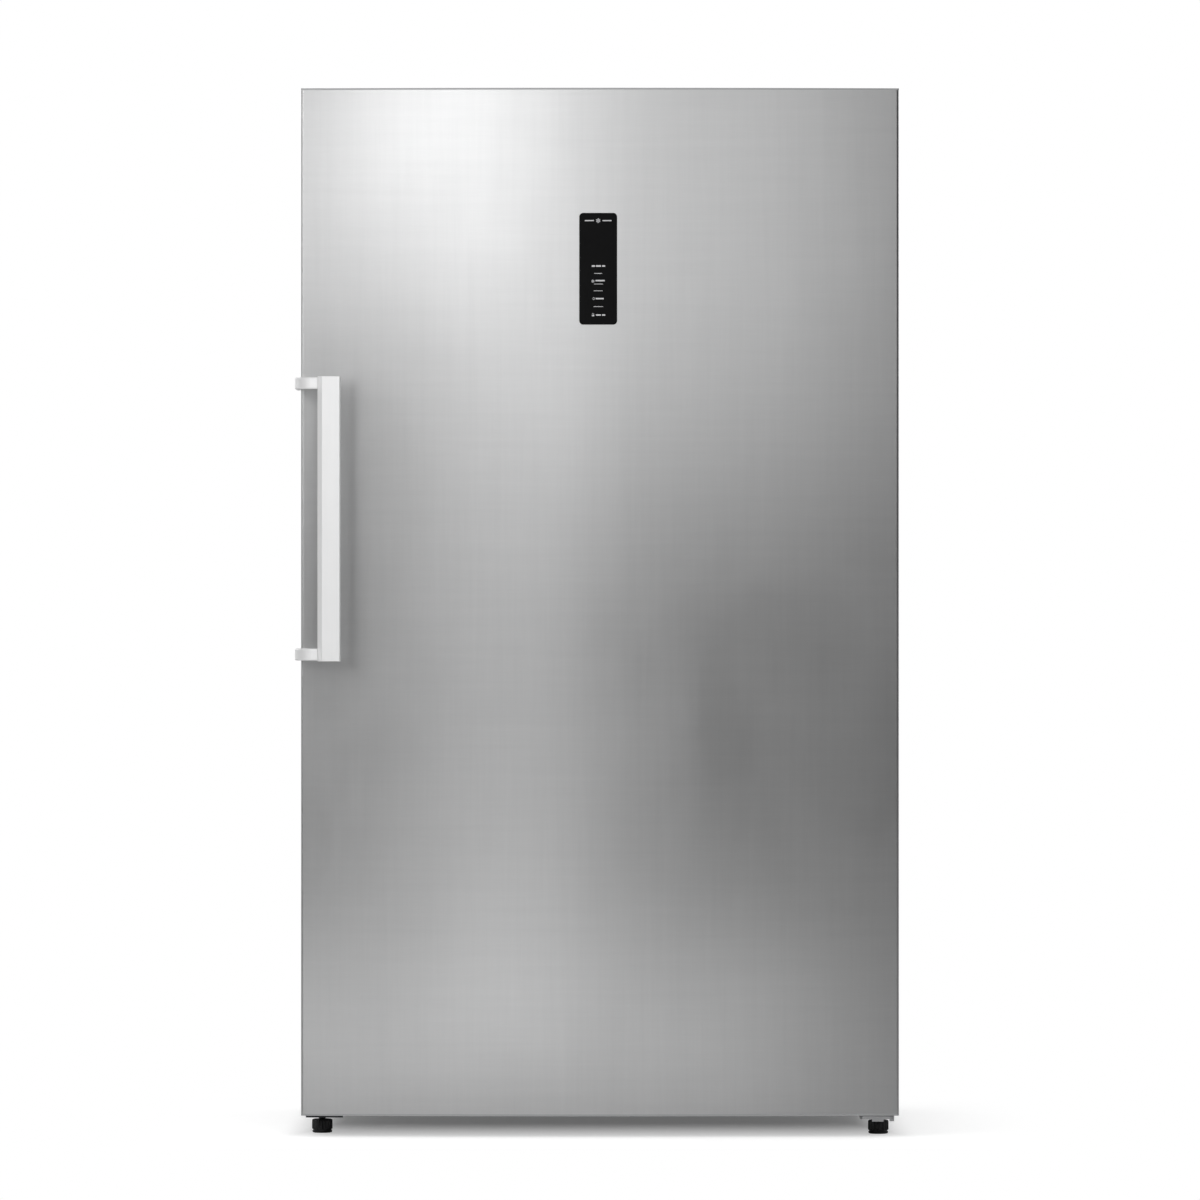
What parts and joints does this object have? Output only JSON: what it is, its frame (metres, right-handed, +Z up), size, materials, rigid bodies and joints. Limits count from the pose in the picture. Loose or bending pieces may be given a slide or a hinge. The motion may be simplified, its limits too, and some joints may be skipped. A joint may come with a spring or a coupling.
{
  "type": "upright freezer",
  "caption": "Tall single-door upright freezer with an arched steel door, wrap-round side handle, inner drawers, shelves and door bins, standing on front feet and rear rollers.",
  "frame": {"origin": "on the floor, under the middle of the whole freezer's outline", "axes": "+Z up, the door faces -Y, the handle is at -X and the door's hinges at +X"},
  "size_m": [0.8375, 0.7537, 1.456],
  "materials": {
    "cabinet_paint": "satin",
    "galvanised": "satin",
    "foam": "matte",
    "white_liner": "satin",
    "hinge_steel": "satin",
    "grey_plastic": "matte",
    "black_steel": "satin",
    "black_plastic": "matte",
    "screw_steel": "gloss",
    "rubber": "matte",
    "coil_steel": "satin",
    "copper": "satin",
    "board_green": "satin",
    "coil_aluminium": "satin",
    "lens": "satin",
    "shelf_glass": "polished",
    "white_trim": "satin",
    "clear_drawer": "gloss",
    "clear_bin": "gloss",
    "stainless": "satin",
    "cap_plastic": "satin",
    "gasket_rubber": "matte",
    "panel_black": "gloss",
    "satin_metal": "satin"
  },
  "bodies": {
    "cabinet": {"side_panel_left": "cabinet_paint", "side_panel_right": "cabinet_paint", "top_panel": "cabinet_paint", "back_panel": "galvanised", "front_beam": "cabinet_paint", "base_pan": "galvanised", "cabinet_foam": "foam", "inner_liner": "white_liner", "upper_hinge_bracket": "hinge_steel", "upper_hinge_cover": "grey_plastic", "lower_hinge_bracket": "hinge_steel", "foot_bracket": "black_steel", "cabinet_screws": "screw_steel", "compressor_tray": "galvanised", "compressor": "black_steel", "compressor_mounts": "rubber", "condenser_coil": "coil_steel", "drip_tray": "black_plastic", "condenser_fan_mount": "black_plastic", "filter_drier": "copper", "control_board": "board_green", "rear_cover": "galvanised", "power_inlet": "black_plastic", "evaporator_coil": "coil_aluminium", "defrost_heater": "coil_steel", "evaporator_cover": "white_liner", "evaporator_fan_motor": "grey_plastic", "light_module": "lens", "wall_rails": "white_liner", "shelf_glass_lower": "shelf_glass", "shelf_glass_middle": "shelf_glass", "shelf_glass_upper": "shelf_glass", "shelf_trim_lower": "white_trim", "shelf_trim_middle": "white_trim", "shelf_trim_upper": "white_trim"},
    "door": {"door_skin": "stainless", "door_cap_top": "cap_plastic", "door_cap_bottom": "cap_plastic", "door_foam": "foam", "door_liner": "white_liner", "door_gasket": "gasket_rubber", "hinge_bushes": "grey_plastic", "panel_fascia": "panel_black", "touch_board": "board_green", "handle_bar": "satin_metal", "handle_bracket_lower": "satin_metal", "handle_bracket_upper": "satin_metal", "handle_screws": "screw_steel", "door_bin_1": "clear_bin", "door_bin_2": "clear_bin", "door_bin_3": "clear_bin", "door_bin_4": "clear_bin"},
    "drawer_lower": {"drawer_lower": "clear_drawer"},
    "drawer_upper": {"drawer_upper": "clear_drawer"},
    "condenser_fan_blade": {"condenser_fan_blade": "grey_plastic"},
    "evaporator_fan_blade": {"evaporator_fan_blade": "grey_plastic"},
    "foot_left": {"foot_left": "black_plastic"},
    "foot_right": {"foot_right": "black_plastic"},
    "roller_left": {"roller_left": "black_plastic"},
    "roller_right": {"roller_right": "black_plastic"}
  },
  "joints": [
    {"name": "door_hinge", "type": "hinge", "parent": "cabinet", "child": "door", "pos_m": [0.393, -0.29, 0.743], "axis": [0, 0, 1], "range_deg": [0, 120]},
    {"name": "drawer_lower_slide", "type": "slide", "parent": "cabinet", "child": "drawer_lower", "axis": [0, -1, 0], "range_m": [0, 0.147]},
    {"name": "drawer_upper_slide", "type": "slide", "parent": "cabinet", "child": "drawer_upper", "axis": [0, -1, 0], "range_m": [0, 0.252]},
    {"name": "condenser_fan_spin", "type": "hinge", "parent": "cabinet", "child": "condenser_fan_blade", "pos_m": [-0.036, 0.26, 0.138], "axis": [1, 0, 0], "continuous": true},
    {"name": "evaporator_fan_spin", "type": "hinge", "parent": "cabinet", "child": "evaporator_fan_blade", "pos_m": [0, 0.244, 0.761], "axis": [0, 1, 0], "continuous": true},
    {"name": "foot_left_screw", "type": "hinge", "parent": "cabinet", "child": "foot_left", "pos_m": [-0.389, -0.207, 0.02], "axis": [0, 0, 1], "range_deg": [-720, 720]},
    {"name": "foot_right_screw", "type": "hinge", "parent": "cabinet", "child": "foot_right", "pos_m": [0.389, -0.231, 0.02], "axis": [0, 0, 1], "range_deg": [-720, 720]},
    {"name": "roller_left_spin", "type": "hinge", "parent": "cabinet", "child": "roller_left", "pos_m": [-0.3765, 0.34, 0.015], "axis": [1, 0, 0], "continuous": true},
    {"name": "roller_right_spin", "type": "hinge", "parent": "cabinet", "child": "roller_right", "pos_m": [0.3765, 0.34, 0.015], "axis": [1, 0, 0], "continuous": true}
  ],
  "couplings": [
    {"joint": "drawer_lower_slide", "follows": "door_hinge", "m_per_rad": 0.07},
    {"joint": "drawer_upper_slide", "follows": "door_hinge", "m_per_rad": 0.12}
  ]
}
